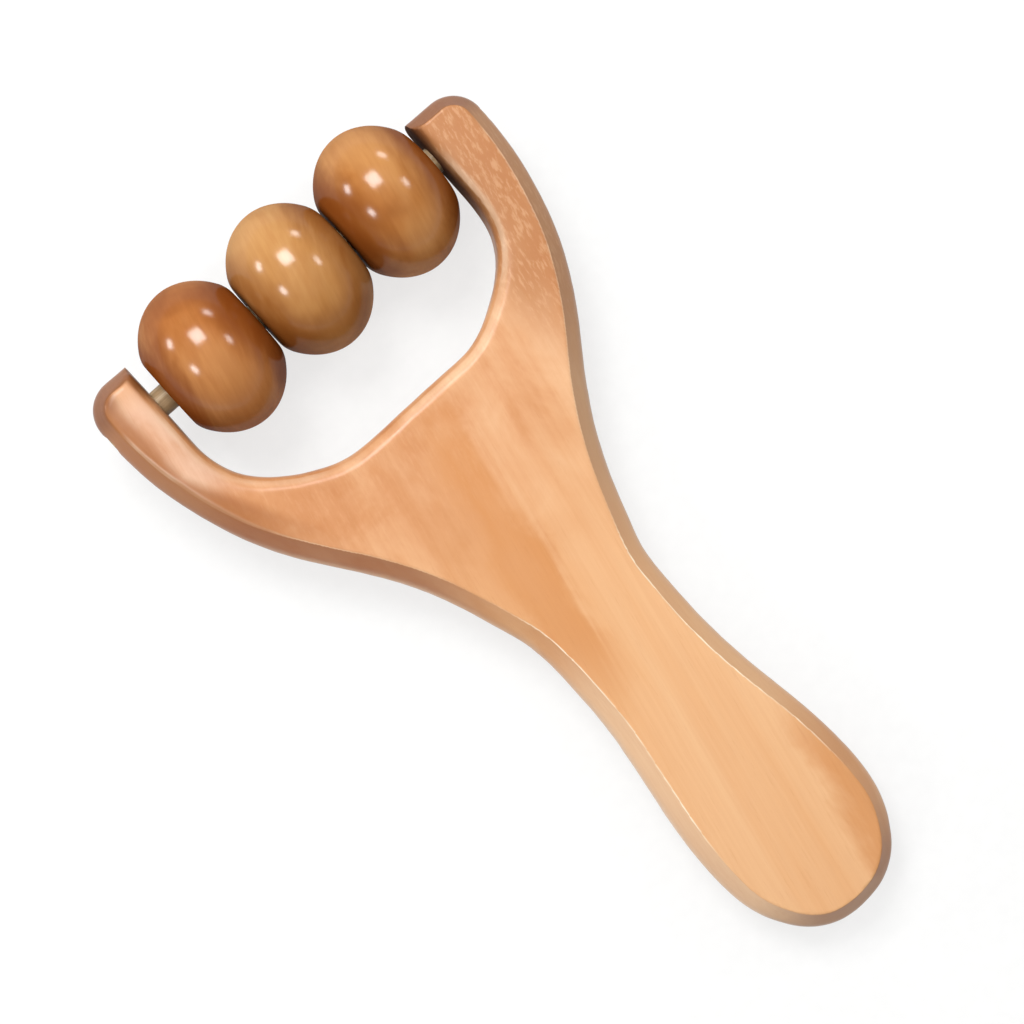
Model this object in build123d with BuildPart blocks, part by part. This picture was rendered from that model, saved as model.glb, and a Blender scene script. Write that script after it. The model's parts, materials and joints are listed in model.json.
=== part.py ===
from build123d import *
from math import asin, cos, sin
import os

os.makedirs("parts", exist_ok=True)

# A hand-held wooden massage roller: a flat board cut to a handle and a two-armed fork, a dowel
# across the arms, and three loose beads on the dowel. It lies on a table with the beads and the
# end of the handle on z = 0. +X runs along the dowel, +Y from the handle towards the fork, and
# +Z up. The origin is on the table, under the middle of the whole object.

# ---- Board, in its own plane: x along the dowel, y from the dowel towards the arm tips ----
# The arm ends lie on one slightly slanting line, so the left arm is a little longer.
board_thickness = 18
handle_reach = 202.3
left_tip_reach = 12.1
right_tip_reach = 10.3
fork_half_width = 60.1
fork_corner_radius = 8.5
flank_start = 0.8
neck_half_width = 17.2
neck_reach = 122
grip_half_width = 22.5
grip_reach = 173

# The throat between the arms sits a little to the left, so the left arm is the slimmer one.
throat_half_width = 44.4
throat_depth = 40.4
throat_side_depth = 12
throat_top = left_tip_reach + 1
throat_offset = -0.9

# The board's edge swells outwards between its two faces and meets them at a crisp arris.
# The throat's rim is rounded over.
edge_inset = 3.8
edge_drop = 6
edge_round = 7
throat_round = 4

# ---- Dowel and beads ----
dowel_diameter = 7
dowel_recess = 0.3
bead_diameter = 39.5
bead_width = 27.5
bead_swell = 16
bead_gap = 0.6
bead_bore = 7.2
bead_edge_round = 1.2
bead_bore_round = 0.8

# ---- Sizes and places that follow from these ----
bead_radius = bead_diameter / 2
bead_pitch = bead_width + bead_gap
dowel_length = 2 * (fork_half_width - dowel_recess)
rest_tilt = asin((bead_radius - board_thickness / 2) / (handle_reach - edge_inset))
axle_y = (handle_reach * cos(rest_tilt) - bead_radius) / 2
axle = Axis((0, axle_y, bead_radius), (1, 0, 0))

# The board's middle plane runs through the dowel's axis and slopes down to the handle's end.
board = Plane(
    origin=axle.position,
    x_dir=(1, 0, 0),
    z_dir=(0, -sin(rest_tilt), cos(rest_tilt)),
)
board_back = board.offset(-board_thickness / 2)
across_board = Axis(board.origin, board.z_dir)
throat_plane = Plane(
    origin=board_back.origin + (throat_offset, 0, 0),
    x_dir=board.x_dir,
    z_dir=board.z_dir,
)
left_arm_side = Plane(origin=axle.position - (fork_half_width, 0, 0), z_dir=(1, 0, 0))
dowel_end = left_arm_side.offset(dowel_recess)


def edges_at(part, height):
    """The edges that lie all along at this height above or below the board's middle plane."""
    return part.edges().filter_by(
        lambda edge: all(
            abs(abs(board.to_local_coords(edge @ along).Z) - height) < 0.01
            for along in (0, 0.3, 0.7, 1)
        )
    )


def on_throat(edge):
    """Whether an edge of the board's faces belongs to the throat and not to the outer arris."""
    middle = board.to_local_coords(edge @ 0.5)
    return abs(middle.X - throat_offset) < throat_half_width + 0.1 and middle.Y > -throat_depth - 0.1


# ---- Fork and handle, one board ----
with BuildPart() as fork_handle:
    with BuildSketch(board_back) as outline:
        with BuildLine():
            flank = Spline(
                (fork_half_width, flank_start),
                (55.4, -28.5),
                (47.6, -46),
                (36.2, -62.5),
                (26.4, -79.5),
                (20.05, -96.5),
                (neck_half_width, -neck_reach),
                tangents=((0, -1), (0, -1)),
            )
            grip = Spline(
                flank @ 1,
                (20.2, -149.5),
                (grip_half_width, -grip_reach),
                tangents=((0, -1), (0, -1)),
            )
            Spline(
                grip @ 1,
                (17.4, -192.8),
                (0, -handle_reach),
                tangents=((0, -1), (-1, 0)),
            )
            mirror(about=Plane.YZ)
            Polyline(
                (fork_half_width, flank_start),
                (fork_half_width, right_tip_reach),
                (-fork_half_width, left_tip_reach),
                (-fork_half_width, flank_start),
            )
        make_face()
        fillet(outline.vertices().sort_by(Axis.Y)[-2:], radius=fork_corner_radius)
    extrude(amount=board_thickness)

    # The edge all round: a deep chamfer from each face, blended into the wall between them.
    back = fork_handle.faces().sort_by(across_board)[0]
    chamfer(back.edges(), length=edge_inset, length2=edge_drop, reference=back)
    front = fork_handle.faces().sort_by(across_board)[-1]
    chamfer(front.edges(), length=edge_inset, length2=edge_drop, reference=front)
    fillet(edges_at(fork_handle.part, board_thickness / 2 - edge_drop), radius=edge_round)

    # The throat, open between the tips.
    with BuildSketch(throat_plane):
        with BuildLine():
            mouth = Line((0, throat_top), (throat_half_width, throat_top))
            side = Line(mouth @ 1, (throat_half_width, -throat_side_depth))
            Spline(
                side @ 1,
                (38.7, -28.8),
                (24.1, -38.5),
                (0, -throat_depth),
                tangents=((0, -1), (-1, 0)),
            )
            mirror(about=Plane.YZ)
        make_face()
    extrude(amount=board_thickness, mode=Mode.SUBTRACT)
    rim_edges = edges_at(fork_handle.part, board_thickness / 2)
    fillet(rim_edges.filter_by(on_throat), radius=throat_round)

    # The hole for the dowel, through both arms.
    with BuildSketch(left_arm_side):
        Circle(dowel_diameter / 2)
    extrude(amount=2 * fork_half_width, mode=Mode.SUBTRACT)
fork_handle.part.label = "fork_handle"
export_step(fork_handle.part, "parts/fork_handle.step")


# ---- Dowel, glued in both arms ----
with BuildPart() as axle_dowel:
    with BuildSketch(dowel_end):
        Circle(dowel_diameter / 2)
    extrude(amount=dowel_length)
axle_dowel.part.label = "axle_dowel"
export_step(axle_dowel.part, "parts/axle_dowel.step")


# ---- Three beads, each an oblate ball cut flat at both ends and bored through ----
for name, place in (("bead_left", -1), ("bead_middle", 0), ("bead_right", 1)):
    bead_plane = Plane(
        origin=axle.position + (place * bead_pitch, 0, 0),
        x_dir=board.x_dir,
        z_dir=board.z_dir,
    )
    with BuildPart() as bead:
        with BuildSketch(bead_plane):
            Ellipse(bead_swell, bead_radius)
            Rectangle(bead_width, bead_diameter, mode=Mode.INTERSECT)
            Rectangle(bead_width, bead_bore, mode=Mode.SUBTRACT)
            split(bisect_by=Plane.XZ, keep=Keep.BOTTOM)
        revolve(axis=axle)
        rims = bead.edges().filter_by(GeomType.CIRCLE).sort_by(SortBy.RADIUS)
        fillet(rims[-2:], radius=bead_edge_round)
        rims = bead.edges().filter_by(GeomType.CIRCLE).sort_by(SortBy.RADIUS)
        fillet(rims[:2], radius=bead_bore_round)
    bead.part.label = name
    export_step(bead.part, f"parts/{name}.step")
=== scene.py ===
import json
import math

import bmesh
import bpy
import numpy as np
from mathutils import Matrix, Vector, noise


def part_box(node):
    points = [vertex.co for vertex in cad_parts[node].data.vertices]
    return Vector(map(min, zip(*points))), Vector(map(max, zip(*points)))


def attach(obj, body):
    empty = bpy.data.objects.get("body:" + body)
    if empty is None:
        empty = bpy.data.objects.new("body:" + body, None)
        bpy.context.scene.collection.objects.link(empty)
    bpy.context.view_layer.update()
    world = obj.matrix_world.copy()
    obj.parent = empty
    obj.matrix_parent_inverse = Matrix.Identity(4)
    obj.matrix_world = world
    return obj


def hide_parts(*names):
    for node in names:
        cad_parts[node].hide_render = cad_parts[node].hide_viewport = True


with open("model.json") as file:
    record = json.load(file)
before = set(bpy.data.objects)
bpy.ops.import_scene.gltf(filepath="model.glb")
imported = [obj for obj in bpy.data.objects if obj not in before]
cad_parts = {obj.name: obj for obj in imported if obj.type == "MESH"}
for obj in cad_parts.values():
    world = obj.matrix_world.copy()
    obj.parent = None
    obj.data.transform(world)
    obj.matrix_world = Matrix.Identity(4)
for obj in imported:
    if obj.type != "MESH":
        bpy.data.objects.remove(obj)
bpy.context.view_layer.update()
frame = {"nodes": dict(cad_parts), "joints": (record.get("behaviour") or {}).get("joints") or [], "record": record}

MM = 0.001

record = frame["record"]

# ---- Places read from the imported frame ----
# The second joint is the middle bead's: on the dowel's axis, in the middle of the fork.
AXLE = Vector(frame["joints"][1]["pos_m"])
FRONT = next(m for m in record["mounts"] if m["name"] == "front_face")
NORMAL = Vector(FRONT["axis"]).normalized()
ALONG = NORMAL.cross(Vector((1, 0, 0))).normalized()
# The board's own frame: x along the dowel, y from the dowel towards the arm tips, z out of the front.
TO_ROW = Matrix.Translation(AXLE) @ Matrix((Vector((1, 0, 0)), ALONG, NORMAL)).transposed().to_4x4()
TO_BOARD = TO_ROW.inverted()

DOWEL_LOW, DOWEL_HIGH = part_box("axle_dowel")
DOWEL_RADIUS = (DOWEL_HIGH.z - DOWEL_LOW.z) / 2
BEADS = ("bead_left", "bead_middle", "bead_right")


# ---- Meshes ----
def link(name, mesh):
    """A new object for a mesh, in the scene."""
    thing = bpy.data.objects.new(name, mesh)
    bpy.context.scene.collection.objects.link(thing)
    return thing


def shade_smooth(mesh, sharp_angle=None):
    """Smooth shading, kept sharp at edges that turn by more than the angle."""
    mesh.polygons.foreach_set("use_smooth", [True] * len(mesh.polygons))
    if sharp_angle is not None:
        mesh.set_sharp_from_angle(angle=sharp_angle)
    mesh.update()


def lathe(name, profile, segments):
    """A closed ring of profile points (x, radius), turned about the dowel's axis."""
    made = bmesh.new()
    rings = []
    for x, radius in profile:
        ring = []
        for step in range(segments):
            turn = 2 * math.pi * step / segments
            place = (x, AXLE.y + radius * math.cos(turn), AXLE.z + radius * math.sin(turn))
            ring.append(made.verts.new(place))
        rings.append(ring)
    for ring, following in zip(rings, rings[1:] + rings[:1]):
        for step in range(segments):
            after = (step + 1) % segments
            made.faces.new((ring[step], ring[after], following[after], following[step]))
    bmesh.ops.recalc_face_normals(made, faces=made.faces)
    mesh = bpy.data.meshes.new(name)
    made.to_mesh(mesh)
    made.free()
    shade_smooth(mesh)
    return link(name, mesh)


def arc(centre, radius, start, end, steps):
    """Points on an arc, from start to end in degrees."""
    turns = [math.radians(start + (end - start) * i / steps) for i in range(steps + 1)]
    return [(centre[0] + radius * math.cos(t), centre[1] + radius * math.sin(t)) for t in turns]


def rounded(before, corner, after, steps):
    """A corner eased by a curve that leaves one point and arrives at the other."""

    def between_points(t, a, b, c):
        return (1 - t) ** 2 * a + 2 * t * (1 - t) * b + t * t * c

    shares = [i / steps for i in range(steps + 1)]
    return [tuple(between_points(t, *abc) for abc in zip(before, corner, after)) for t in shares]


# A bead's crown is part of an ellipse with this half length along the dowel.
BEAD_SWELL = 16 * MM
# The rim of a bead's flat end is eased by this much, and its crown by this share of it.
BEAD_EDGE = 1.3 * MM
CROWN_SHARE = 0.8
BORE_ROUND = 0.8 * MM
BORE_PLAY = 0.1 * MM
CROWN_STEPS = 26
BEAD_SEGMENTS = 112


def bead_profile(half_width, radius, bore):
    """Outline of a bead, from the middle of its bore out over the crown and back to the bore."""

    def swell(x):
        return radius * math.sqrt(1 - (x / BEAD_SWELL) ** 2)

    rim = swell(half_width)
    start = half_width - CROWN_SHARE * BEAD_EDGE
    mouth = arc((half_width - BORE_ROUND, bore + BORE_ROUND), BORE_ROUND, 270, 360, 5)
    wall = [(half_width * i / 6, bore) for i in range(5)]
    flat_start = bore + BORE_ROUND
    flat_reach = rim - BEAD_EDGE - flat_start
    flat = [(half_width, flat_start + flat_reach * i / 4) for i in (1, 2, 3)]
    edge = rounded((half_width, rim - BEAD_EDGE), (half_width, rim), (start, swell(start)), 8)
    turns = [math.asin(start / BEAD_SWELL) * (1 - i / CROWN_STEPS) for i in range(1, CROWN_STEPS + 1)]
    crown = [(BEAD_SWELL * math.sin(t), radius * math.cos(t)) for t in turns]
    half = wall + mouth + flat + edge + crown
    return half + [(-x, r) for x, r in reversed(half[1:-1])]


def make_bead(name):
    """One bead, in the place of its CAD node."""
    low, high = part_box(name)
    middle = (low.x + high.x) / 2
    half_width = (high.x - low.x) / 2
    radius = (high.z - low.z) / 2
    outline = bead_profile(half_width, radius, DOWEL_RADIUS + BORE_PLAY)
    bead = lathe(name + "_turned", [(middle + x, r) for x, r in outline], BEAD_SEGMENTS)
    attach(bead, name)
    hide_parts(name)
    return bead


DOWEL_EASE = 0.35 * MM
# The visual dowel is this much thinner in radius than its CAD node.
DOWEL_INSET = 0.01 * MM
# The dowel's end faces close around a pinhole of this radius.
PINHOLE = 0.02 * MM
DOWEL_STEPS = 60
DOWEL_SEGMENTS = 48


def make_dowel():
    """The dowel, with its ends eased."""
    outer = DOWEL_RADIUS - DOWEL_INSET
    ends = []
    for side, x in ((1, DOWEL_HIGH.x), (-1, DOWEL_LOW.x)):
        flat = [(x, PINHOLE), (x, outer * 0.5), (x, outer - DOWEL_EASE)]
        corner = (x - side * 0.3 * DOWEL_EASE, outer - 0.3 * DOWEL_EASE)
        ends.append(flat + [corner, (x - side * DOWEL_EASE, outer)])
    reach = DOWEL_HIGH.x - DOWEL_EASE
    middle = [(reach - 2 * reach * i / DOWEL_STEPS, outer) for i in range(1, DOWEL_STEPS)]
    dowel = lathe("axle_dowel_turned", ends[0] + middle + ends[1][::-1], DOWEL_SEGMENTS)
    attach(dowel, "handle")
    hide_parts("axle_dowel")
    return dowel


# The board's length is this share of a grid of 2 to the power of the depth.
GRID_DEPTH = 9
GRID_SHARE = 0.705
# Edges that turn by more than this are shaded sharp.
SHARP_ANGLE = math.radians(65)
# Each wave left by hand sanding: how far it moves the surface, and how long it is.
SANDED_WAVES = ((0.2 * MM, 17 * MM), (0.07 * MM, 5 * MM))
# Without a seed, Blender's noise_vector starts from the clock, and the waves differ each run.
SANDING_SEED = 7
# The left arm and the throat were sanded for longer: rounds of relaxing, and how far each swells back.
LEFT_ARM_ROUNDS = 40
THROAT_ROUNDS = 10
WORN_SWELL = -0.2


def relax(places, pairs, weights, rounds, swell):
    """Evens out a mesh: each point moves towards the middle of its neighbours and back out again."""
    ends = np.concatenate((pairs, pairs[:, ::-1]))
    starts, others = ends.T
    count = np.bincount(starts, minlength=len(places))
    for _ in range(rounds):
        for share in (0.5, swell):
            sums = [np.bincount(starts, places[others, axis], len(places)) for axis in range(3)]
            middle = np.stack(sums, axis=1) / count[:, None]
            places = places + weights[:, None] * share * (middle - places)
    return places


def ramp_between(values, low, high):
    """0 below low, 1 above high, and smooth between."""
    t = np.clip((values - low) / (high - low), 0, 1)
    return t * t * (3 - 2 * t)


def apply_modifiers(thing):
    """Replaces an object's mesh by what its modifiers make of it."""
    graph = bpy.context.evaluated_depsgraph_get()
    mesh = bpy.data.meshes.new_from_object(thing.evaluated_get(graph))
    thing.modifiers.clear()
    thing.data = mesh


def hand_sand(mesh):
    """Rounds the board's edges as sandpaper does: crisp on the right, soft on the left arm."""
    places = np.array([v.co for v in mesh.vertices])
    pairs = np.array([e.vertices for e in mesh.edges])
    x, y, z = places.T
    from_axle = np.hypot(y, z)
    off_bore = ramp_between(from_axle, DOWEL_RADIUS + 0.2 * MM, DOWEL_RADIUS + 2.5 * MM)
    off_middle = ramp_between(np.abs(z), 3 * MM, 5.5 * MM)
    left_arm = ramp_between(-x, 34 * MM, 48 * MM) * ramp_between(y, -52 * MM, -22 * MM)
    tip = ramp_between(y, -26 * MM, 7 * MM)
    throat = ramp_between(-np.abs(x + 6 * MM), -36 * MM, -22 * MM) * ramp_between(y, -52 * MM, -46 * MM)

    places = relax(places, pairs, off_bore, 1, -0.52)
    soft_arm = off_middle * left_arm * (1 - 0.5 * tip)
    places = relax(places, pairs, soft_arm, LEFT_ARM_ROUNDS, WORN_SWELL)
    soft_throat = off_middle * throat * (1 - left_arm)
    places = relax(places, pairs, soft_throat, THROAT_ROUNDS, WORN_SWELL)

    calm = ramp_between(from_axle, DOWEL_RADIUS + 0.5 * MM, DOWEL_RADIUS + 16 * MM)
    noise.seed_set(SANDING_SEED)
    for reach, length in SANDED_WAVES:
        for i, place in enumerate(places):
            wave = noise.noise_vector(Vector(place) / length)
            places[i] += calm[i] * reach * np.array((wave.x, wave.y, 0.5 * wave.z))
    return places


def make_board():
    """Fork and handle: the CAD board's shape, with even faces and hand-sanded edges."""
    mesh = frame["nodes"]["fork_handle"].data.copy()
    mesh.transform(TO_BOARD)
    board = link("fork_handle_sanded", mesh)
    even = board.modifiers.new("even_faces", "REMESH")
    even.mode = "SHARP"
    even.octree_depth = GRID_DEPTH
    even.scale = GRID_SHARE
    apply_modifiers(board)

    places = hand_sand(board.data)
    row = np.c_[places, np.ones(len(places))] @ np.array(TO_ROW).T
    low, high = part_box("fork_handle")
    inside = np.clip(row[:, :3], np.array(low), np.array(high))
    board.data.vertices.foreach_set("co", inside.ravel())
    board.data.materials.clear()
    shade_smooth(board.data, SHARP_ANGLE)
    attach(board, "handle")
    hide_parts("fork_handle")
    return board


# ---- Materials ----
def srgb(red, green, blue, share=1.0):
    """A screen colour, 0 to 255, for a shader's linear socket, at a share of its brightness."""

    def linear(value):
        value = value / 255
        return value / 12.92 if value <= 0.04045 else ((value + 0.055) / 1.055) ** 2.4

    return (share * linear(red), share * linear(green), share * linear(blue), 1)


def wood_colour(red, green, blue):
    """A wood colour, given about as it looks on a screen under the studio's lamps."""
    return srgb(red, green, blue, 0.645)


class Recipe:
    """A procedural wood or paper, with short calls for its nodes."""

    def __init__(self, name, **fixed):
        self.material = bpy.data.materials.new(name)
        self.material.use_nodes = True
        self.tree = self.material.node_tree
        self.shader = self.tree.nodes["Principled BSDF"]
        for socket, value in fixed.items():
            self.shader.inputs[socket.replace("_", " ")].default_value = value

    def feed(self, socket, value):
        """Gives a socket a link or a constant."""
        if isinstance(value, bpy.types.NodeSocket):
            self.tree.links.new(value, socket)
        else:
            socket.default_value = value

    def add(self, kind, inputs, **settings):
        """A shader node, with its inputs fed and its settings set."""
        node = self.tree.nodes.new("ShaderNode" + kind)
        for key, value in settings.items():
            setattr(node, key, value)
        for socket, value in inputs.items():
            self.feed(node.inputs[socket], value)
        return node

    def object_place(self, matrix):
        """The shaded point in a frame of its own: its place in the row, moved by a rigid matrix."""
        where = self.add("TexCoord", {}).outputs["Object"]
        inputs = {"Vector": where, "Location": matrix.to_translation(), "Rotation": matrix.to_euler()}
        return self.add("Mapping", inputs).outputs["Vector"]

    def stretch(self, where, scale, turn=(0, 0, 0), move=(0, 0, 0)):
        """A place turned, then counted in repeats per metre along each axis."""
        turned = self.add("Mapping", {"Vector": where, "Rotation": turn}).outputs["Vector"]
        return self.add("Mapping", {"Vector": turned, "Scale": scale, "Location": move}).outputs["Vector"]

    def noise(self, where, detail=3, roughness=0.5, distortion=0):
        """Soft random values, from about 0.3 to 0.7."""
        inputs = {"Vector": where, "Scale": 1, "Detail": detail}
        inputs.update({"Roughness": roughness, "Distortion": distortion})
        return self.add("TexNoise", inputs).outputs["Fac"]

    def between(self, value, low, high, to_low=0, to_high=1):
        """Moves a value smoothly from one range to another."""
        inputs = {"Value": value, "From Min": low, "From Max": high, "To Min": to_low, "To Max": to_high}
        return self.add("MapRange", inputs, interpolation_type="SMOOTHSTEP").outputs["Result"]

    def window(self, value, low, high, soft):
        """1 between low and high, 0 outside, with soft edges."""
        rise = self.between(value, low - soft, low + soft)
        fall = self.between(value, high - soft, high + soft, 1, 0)
        return self.product(rise, fall)

    def calc(self, operation, first, second=0.0):
        """One operation on two values."""
        node = self.add("Math", {}, operation=operation)
        self.feed(node.inputs[0], first)
        self.feed(node.inputs[1], second)
        return node.outputs[0]

    def product(self, *shares):
        """The product of several shares."""
        result = shares[0]
        for share in shares[1:]:
            result = self.calc("MULTIPLY", result, share)
        return result

    def weighted(self, first, share, second):
        """A share of the first value, and the rest from the second."""
        return self.calc("ADD", self.product(first, share), self.product(second, 1 - share))

    def axes(self, where):
        return self.add("SeparateXYZ", {"Vector": where}).outputs

    def mix(self, share, first, second):
        """The first colour, with a share of the second."""
        node = self.add("Mix", {}, data_type="RGBA")
        self.feed(node.inputs["Factor"], share)
        self.feed(node.inputs[6], first)
        self.feed(node.inputs[7], second)
        return node.outputs[2]

    def ramp(self, value, stops):
        """A colour for each value, between stops of (value, colour)."""
        node = self.add("ValToRGB", {"Fac": value})
        points = node.color_ramp.elements
        while len(points) < len(stops):
            points.new(0.5)
        for point, (position, colour) in zip(points, stops):
            point.position = position
            point.color = colour
        return node.outputs["Color"]

    def bump(self, height, strength, distance):
        inputs = {"Height": height, "Strength": strength, "Distance": distance}
        normal = self.add("Bump", inputs).outputs["Normal"]
        self.feed(self.shader.inputs["Normal"], normal)

    def finish(self, colour, roughness):
        """Gives the shader its colour and roughness, and returns the material."""
        self.feed(self.shader.inputs["Base Color"], colour)
        self.feed(self.shader.inputs["Roughness"], roughness)
        return self.material


GRAIN_SLANT = math.radians(11.5)
PALE_WOOD = (
    (0.33, wood_colour(219, 157, 100)),
    (0.43, wood_colour(225, 168, 115)),
    (0.52, wood_colour(229, 176, 126)),
    (0.66, wood_colour(233, 184, 136)),
)
RED_WOOD = (
    (0.36, wood_colour(194, 127, 77)),
    (0.46, wood_colour(208, 145, 96)),
    (0.54, wood_colour(219, 162, 115)),
    (0.66, wood_colour(231, 182, 138)),
)
# Darker streaks in the board: place across the grain, half width, where it ends and starts along it.
BOARD_STREAKS = (
    (52 * MM, 5.5 * MM, -205 * MM, -152 * MM),
    (11 * MM, 6.5 * MM, -120 * MM, -48 * MM),
)
STREAK_TONE = wood_colour(207, 139, 80)
BOARD_COAT = 0.2


class BoardRecipe(Recipe):
    """The board's wood: the places and the grain that its tones, painted shade and painted highlights follow, and
    its colour so far.
    """

    def __init__(self, name, **fixed):
        super().__init__(name, **fixed)
        self.where = self.object_place(TO_BOARD)
        self.x, self.y = self.axes(self.where)[0:2]
        slant = {"Vector": self.where, "Rotation": (0, 0, GRAIN_SLANT)}
        self.along_grain = self.add("Mapping", slant).outputs["Vector"]
        turn = {"Vector": self.add("TexCoord", {}).outputs["Normal"], "Rotation": TO_BOARD.to_euler()}
        self.facing = self.axes(self.add("Mapping", turn, vector_type="VECTOR").outputs["Vector"])
        # 1 on the flat faces, about a half on the bevels and 0 on the walls.
        self.flatness = self.calc("ABSOLUTE", self.facing["Z"])
        # 1 on the bevels and walls that face away from the board's middle line.
        self.outward = self.between(self.product(self.facing["X"], self.x), 0, 8 * MM)
        self.bands = self.noise(self.stretch(self.along_grain, (190, 7, 190)), 4, 0.55, 0.4)
        self.fibres = self.noise(self.stretch(self.along_grain, (1300, 30, 1300)), 3, 0.6)
        self.blotches = self.noise(self.stretch(self.where, (75, 48, 75)), 4, 0.6, 0.3)
        self.colour = self.grain()

    def grain(self):
        """Pale wood along the handle, redder and more blotched towards the fork."""
        broad = self.noise(self.stretch(self.along_grain, (34, 3.5, 34)), 3, 0.5, 0.5)
        tone = self.weighted(broad, 0.62, self.bands)
        blotched = self.weighted(tone, 0.55, self.blotches)
        towards_fork = self.between(self.y, -118 * MM, -45 * MM)
        return self.mix(towards_fork, self.ramp(tone, PALE_WOOD), self.ramp(blotched, RED_WOOD))

    def lay(self, tone, *shares):
        """Lays a tone over the colour so far, at the product of the shares: the wood's own tones, and painted
        shade and highlights.
        """
        self.colour = self.mix(self.product(*shares), self.colour, tone)


def lay_streaks(wood):
    """Darker streaks that waver along the grain."""
    across, along = wood.axes(wood.along_grain)[0:2]
    drift = wood.calc("ADD", wood.between(wood.bands, 0.2, 0.8, -2 * MM, 2 * MM), across)
    wavy = wood.calc("ADD", drift, wood.between(wood.blotches, 0.3, 0.7, -2.5 * MM, 2.5 * MM))
    for middle, half_width, end, start in BOARD_STREAKS:
        sides = wood.window(wavy, middle - half_width, middle + half_width, 3.5 * MM)
        ends = wood.window(along, end, start, 14 * MM)
        wood.lay(STREAK_TONE, sides, ends, 0.75)


def lay_flecks(wood, right_arm):
    """Short pale flecks, most of them on the right arm. Returns the relief they leave."""
    flecks = wood.noise(wood.stretch(wood.along_grain, (1250, 300, 1250)), 3, 0.65)
    fork = wood.between(wood.y, -95 * MM, -30 * MM)
    rough_share = wood.calc("MAXIMUM", right_arm, wood.product(fork, 0.35))
    wood.lay(wood_colour(236, 188, 144), wood.between(flecks, 0.48, 0.66), rough_share, 0.34)
    return wood.product(flecks, rough_share, 0.9)


def lay_left_arm(wood):
    """The soft left arm gets a painted satin sheen, and its outer half is browner."""
    # A painted highlight: a pale satin sheen along the left arm, where its top is flat.
    sheen_x = wood.window(wood.x, -57 * MM, -43 * MM, 4 * MM)
    sheen_y = wood.window(wood.y, -26 * MM, 5 * MM, 7 * MM)
    level = wood.between(wood.flatness, 0.75, 0.97)
    uneven = wood.between(wood.blotches, 0.3, 0.6, 0.2, 0.42)
    wood.lay(wood_colour(234, 208, 190), sheen_x, sheen_y, level, uneven)

    # The brown half's border bends away with the arm.
    past_bend = wood.calc("MAXIMUM", wood.calc("SUBTRACT", -18 * MM, wood.y), 0)
    border = wood.calc("SUBTRACT", wood.x, wood.product(past_bend, 0.53))
    outer_half = wood.between(border, -51 * MM, -54.5 * MM)
    wood.lay(wood_colour(160, 98, 52), outer_half, wood.between(wood.y, -26 * MM, -60 * MM, 0.8, 0))


def lay_edge_shade_and_highlight(wood):
    """Painted shade on the outward-facing bevels and walls, above all beside the palm, and a painted highlight
    left of the grip.
    """
    steep = wood.between(wood.flatness, 0.62, 0.74, 1, 0)
    # Painted shade on the right side's outward bevels and walls, more of it above the grip.
    right_side = wood.between(wood.x, -5 * MM, 5 * MM)
    above_grip = wood.between(wood.y, -105 * MM, -70 * MM, 0.2, 0.5)
    wood.lay(wood_colour(164, 122, 78), steep, wood.outward, right_side, above_grip)

    # Darker painted shade on the left side's outward bevels beside the palm.
    bevel = wood.between(wood.flatness, 0.25, 0.55)
    left_side = wood.between(wood.x, -16 * MM, -28 * MM)
    beside_palm = wood.between(wood.y, -22 * MM, -38 * MM)
    wood.lay(wood_colour(156, 84, 38), steep, bevel, wood.outward, left_side, 0.6, beside_palm)

    # A painted highlight on the outward bevels and walls left of the grip.
    left_of_grip = wood.between(wood.x, 0, -8 * MM)
    beside_grip = wood.between(wood.y, -95 * MM, -125 * MM)
    wood.lay(wood_colour(250, 218, 184), steep, wood.outward, left_of_grip, beside_grip, 0.4)


def lay_end_grain(wood):
    """The end grain at the arm tips has soaked up more finish; at the handle's end, the bevels facing away from
    the lamps get end grain's darker tone and painted shade.
    """
    tilted = wood.between(wood.flatness, 0.95, 0.72)
    left_corner = wood.product(
        wood.between(wood.x, -50 * MM, -53 * MM), wood.between(wood.y, 2 * MM, 8 * MM), 0.7
    )
    tips = wood.between(wood.y, -1 * MM, 6 * MM)
    wood.lay(wood_colour(130, 74, 34), wood.calc("MAXIMUM", tilted, left_corner), tips, 0.9)

    # Painted shade with the end grain's darker tone, on the handle's end bevels that face away from the lamps.
    handle_end = wood.between(wood.y, -170 * MM, -198 * MM)
    faces_down = wood.between(wood.facing["Y"], -0.15, -0.7)
    wood.lay(wood_colour(150, 92, 48), tilted, faces_down, handle_end, 0.6)


def lay_inner_wall(wood):
    """Painted shade inside the right arm, where the beads shade it: the wood is painted nearly black there.
    Returns where.
    """
    faces_beads = wood.between(wood.facing["X"], -0.6, -0.9)
    at_right = wood.between(wood.x, 30 * MM, 36 * MM)
    at_beads = wood.between(wood.y, -30 * MM, -10 * MM)
    shaded = wood.product(faces_beads, at_right, at_beads)
    # Painted shade, nearly black, and no coat, where the beads shade the wall.
    wood.lay(wood_colour(84, 46, 22), shaded, 0.75)
    wood.feed(wood.shader.inputs["Coat Weight"], wood.between(shaded, 0, 1, BOARD_COAT, 0))
    return shaded


def lay_arrises(wood):
    """Sanding has left the arrises pale, and a painted highlight runs along them, in patches, brightest along the
    grip.
    """
    arris = wood.window(wood.flatness, 0.68, 0.93, 0.05)
    grip = wood.product(
        wood.between(wood.y, -84 * MM, -108 * MM), wood.between(wood.y, -176 * MM, -158 * MM)
    )
    upper = wood.product(
        wood.between(wood.y, 1 * MM, -6 * MM, 0, 0.25), wood.between(wood.y, -90 * MM, -70 * MM)
    )
    patches = wood.between(wood.noise(wood.stretch(wood.where, (55, 55, 55)), 2), 0.35, 0.6, 0.35, 1)
    # Pale wear and a painted highlight line along the arrises and the throat's rounding.
    wood.lay(wood_colour(255, 240, 212), arris, wood.calc("MAXIMUM", grip, upper), patches)


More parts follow.
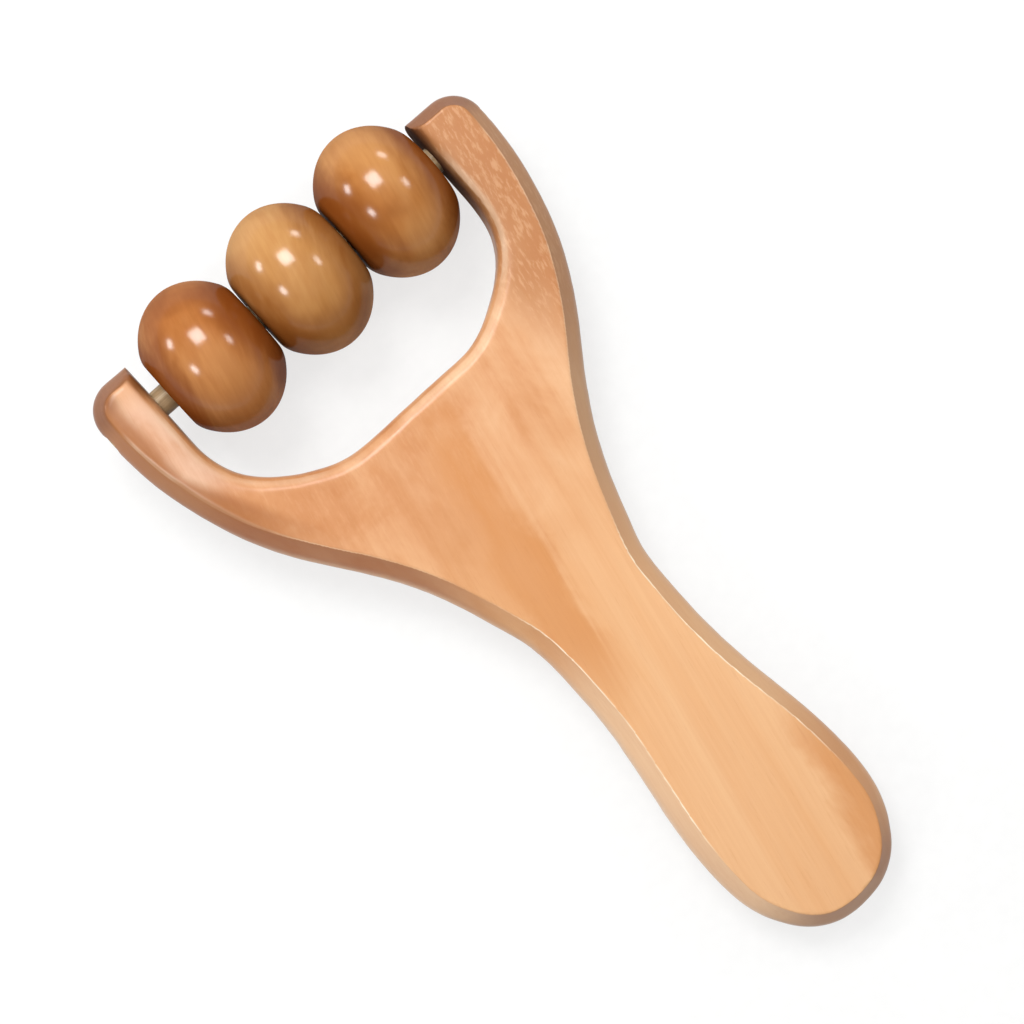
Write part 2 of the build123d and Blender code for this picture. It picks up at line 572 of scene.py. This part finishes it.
def handle_wood():
    """Pale satin wood with its grain along the handle, redder and rougher towards the fork."""
    wood = BoardRecipe("handle_wood", Coat_Roughness=0.2, Coat_IOR=1.5, Specular_IOR_Level=0.2)
    lay_streaks(wood)
    right_arm = wood.product(
        wood.between(wood.x, 27 * MM, 39 * MM), wood.between(wood.y, -66 * MM, -34 * MM)
    )
    wood.lay(wood_colour(176, 112, 62), right_arm, 0.8)
    relief = lay_flecks(wood, right_arm)
    lay_left_arm(wood)
    lay_edge_shade_and_highlight(wood)
    lay_end_grain(wood)
    shaded = lay_inner_wall(wood)
    lay_arrises(wood)
    pores = wood.noise(wood.stretch(wood.along_grain, (2600, 160, 2600)), 2, 0.6)
    wood.lay(wood_colour(176, 112, 62), wood.between(pores, 0.3, 0.38, 0.1, 0))
    wood.lay(wood_colour(190, 126, 74), wood.between(wood.fibres, 0.3, 0.7, 0.1, 0))

    satin = wood.between(wood.blotches, 0.3, 0.7, 0.34, 0.44)
    dull = wood.calc("MAXIMUM", wood.product(right_arm, 0.08), wood.product(shaded, 0.5))
    height = wood.calc("ADD", wood.product(wood.fibres, 0.25), wood.product(wood.bands, 0.5))
    wood.bump(wood.calc("ADD", height, relief), 0.35, 0.12 * MM)
    return wood.finish(wood.colour, wood.calc("ADD", satin, dull))


# Each bead's own timber: its pale tone, its main tone, and its tone towards the flat ends.
BEAD_TONES = {
    "bead_left": (wood_colour(192, 130, 76), wood_colour(172, 105, 52), wood_colour(126, 62, 18)),
    "bead_middle": (wood_colour(200, 148, 92), wood_colour(180, 123, 66), wood_colour(138, 78, 30)),
    "bead_right": (wood_colour(194, 136, 80), wood_colour(172, 108, 52), wood_colour(126, 64, 20)),
}
BEAD_SHINE = {"Coat_Weight": 0.12, "Coat_Roughness": 0.17, "Coat_IOR": 3.0, "Specular_IOR_Level": 0.0}
# How far apart the beads' noises are taken, so that no two beads match.
BEAD_APART = 7.3


def bead_wood(name):
    """Glossy amber wood, darker towards the bead's ends."""
    wood = Recipe(name + "_wood", **BEAD_SHINE)
    low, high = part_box(name)
    where = wood.object_place(Matrix.Translation(-(low + high) / 2))
    seed = (BEADS.index(name) * BEAD_APART, 2.1, 0)
    slant = (0, 0, 0.25)
    pale, main, dark = BEAD_TONES[name]

    streaks = wood.noise(wood.stretch(where, (62, 24, 24), slant, seed), 4, 0.55, 0.7)
    clouds = wood.noise(wood.stretch(where, (38, 38, 38), (0.3, 0, 0), seed), 3, 0.5)
    fibres = wood.noise(wood.stretch(where, (900, 90, 90), slant, seed), 3, 0.6)
    tone = wood.weighted(streaks, 0.55, clouds)
    colour = wood.mix(wood.between(tone, 0.4, 0.62), main, pale)

    from_middle = wood.calc("ABSOLUTE", wood.axes(where)["X"])
    to_end = wood.calc("DIVIDE", from_middle, (high.x - low.x) / 2)
    uneven = wood.calc("ADD", to_end, wood.between(streaks, 0.2, 0.8, 0.28, -0.28))
    colour = wood.mix(wood.between(uneven, 0.3, 1.0, 0, 0.95), colour, dark)
    colour = wood.mix(wood.between(clouds, 0.28, 0.46, 0.6, 0), colour, dark)
    colour = wood.mix(wood.between(fibres, 0.35, 0.65, 0.12, 0), colour, dark)
    wood.bump(wood.calc("ADD", fibres, clouds), 0.12, 0.1 * MM)
    return wood.finish(colour, 0.4)


DOWEL_TONES = ((0.35, wood_colour(150, 118, 82)), (0.5, wood_colour(180, 149, 110)), (0.65, wood_colour(206, 180, 142)))


def dowel_wood():
    """Bare pale wood with its grain along the dowel."""
    wood = Recipe("dowel_wood", Specular_IOR_Level=0.25)
    where = wood.object_place(Matrix.Translation(-AXLE))
    fibres = wood.noise(wood.stretch(where, (70, 1100, 1100)), 3, 0.6)
    rings = wood.noise(wood.stretch(where, (14, 260, 260)), 3, 0.5, 0.4)
    wood.bump(fibres, 0.4, 0.1 * MM)
    colour = wood.ramp(wood.weighted(fibres, 0.5, rings), DOWEL_TONES)
    return wood.finish(colour, wood.between(rings, 0.3, 0.7, 0.38, 0.5))


PAPER_GLOW = 0.72


def floor_paper():
    """Matt white studio paper."""
    glow = {"Emission_Color": (1, 1, 1, 1), "Emission_Strength": PAPER_GLOW}
    paper = Recipe("studio_paper", Specular_IOR_Level=0.2, **glow)
    where = paper.object_place(Matrix.Identity(4))
    fibre = paper.noise(paper.stretch(where, (300, 300, 300)), 2)
    colour = paper.ramp(fibre, ((0.3, srgb(110, 110, 109)), (0.7, srgb(114, 114, 113))))
    return paper.finish(colour, 0.9)


# ---- Studio ----
# The view, measured in the board's own frame.
VIEW_DISTANCE = 600 * MM
VIEW_WIDTH = 246.7 * MM
VIEW_CENTRE = Vector((0.4, -75.9, 0)) * MM
VIEW_LEAN = math.radians(3.4)
VIEW_ROLL = math.radians(42.0)
SENSOR_WIDTH = 36


def make_camera():
    """Looks straight down on the board's front, a little from the left, with the fork up and left."""
    camera = bpy.data.cameras.new("studio_camera")
    camera.sensor_width = SENSOR_WIDTH
    camera.lens = SENSOR_WIDTH * VIEW_DISTANCE / VIEW_WIDTH
    thing = link("studio_camera", camera)
    back = Vector((-math.sin(VIEW_LEAN), 0, math.cos(VIEW_LEAN)))
    right = Vector((math.cos(VIEW_ROLL), -math.sin(VIEW_ROLL), 0))
    right = (right - right.dot(back) * back).normalized()
    pose = Matrix((right, back.cross(right), back)).transposed().to_4x4()
    pose.translation = VIEW_CENTRE + VIEW_DISTANCE * back
    thing.matrix_world = TO_ROW @ pose
    bpy.context.scene.camera = thing


LAMP_DISTANCE = 900 * MM
# The lamps: direction in the board's own frame, width and height in metres, and power in watts.
LAMPS = {
    "window": ((0.03, 0.48, 0.88), 0.39, 0.33, 8.0),
    "low_left": ((-0.68, 0.64, 0.36), 0.17, 0.14, 1.8),
    "low_right": ((0.68, 0.64, 0.36), 0.17, 0.14, 1.2),
    "high_left": ((-0.73, -0.04, 0.68), 0.17, 0.14, 1.8),
    "high_right": ((0.73, -0.04, 0.68), 0.17, 0.14, 1.2),
    "ceiling": ((0, 0, 1), 1.6, 1.6, 11.5),
}


def lamp(name, direction, width, height, power):
    """A soft box that faces the beads."""
    light = bpy.data.lights.new(name, "AREA")
    light.shape = "RECTANGLE"
    light.size = width
    light.size_y = height
    light.energy = power
    thing = link(name, light)
    towards = TO_ROW.to_3x3() @ Vector(direction).normalized()
    facing = towards.to_track_quat("Z", "Y").to_matrix().to_4x4()
    thing.matrix_world = Matrix.Translation(AXLE + LAMP_DISTANCE * towards) @ facing
    return thing


# The surround's light at the horizon and overhead, and the height at which it is as dim as overhead.
HORIZON_LIGHT = 0.42
OVERHEAD_LIGHT = 0.1
DIM_HEIGHT = 0.6


def make_surround():
    """A dim room above a bright horizon, where the studio paper ends."""
    world = bpy.data.worlds.new("studio_surround")
    world.use_nodes = True
    tree = world.node_tree
    direction = tree.nodes.new("ShaderNodeTexCoord").outputs["Generated"]
    split = tree.nodes.new("ShaderNodeSeparateXYZ")
    tree.links.new(direction, split.inputs["Vector"])
    fade = tree.nodes.new("ShaderNodeMapRange")
    fade.interpolation_type = "SMOOTHSTEP"
    fade.inputs["From Max"].default_value = DIM_HEIGHT
    fade.inputs["To Min"].default_value = HORIZON_LIGHT
    fade.inputs["To Max"].default_value = OVERHEAD_LIGHT
    tree.links.new(split.outputs["Z"], fade.inputs["Value"])
    tree.links.new(fade.outputs["Result"], tree.nodes["Background"].inputs["Strength"])
    tree.nodes["Background"].inputs["Color"].default_value = (1, 1, 1, 1)
    bpy.context.scene.world = world


# Half the floor's side, in metres.
FLOOR_HALF = 8


def make_studio():
    """Floor, lamps and surround."""
    made = bmesh.new()
    bmesh.ops.create_grid(made, x_segments=8, y_segments=8, size=FLOOR_HALF)
    mesh = bpy.data.meshes.new("studio_floor")
    made.to_mesh(mesh)
    made.free()
    mesh.materials.append(floor_paper())
    link("studio_floor", mesh)

    lamps = {name: lamp(name, *settings) for name, settings in LAMPS.items()}
    # The ceiling lights the wood evenly, without a reflection of its own.
    lamps["ceiling"].visible_glossy = False
    make_surround()
    bpy.context.scene.view_settings.view_transform = "Standard"


make_camera()
make_studio()
make_board().data.materials.append(handle_wood())
make_dowel().data.materials.append(dowel_wood())
for bead_name in BEADS:
    make_bead(bead_name).data.materials.append(bead_wood(bead_name))
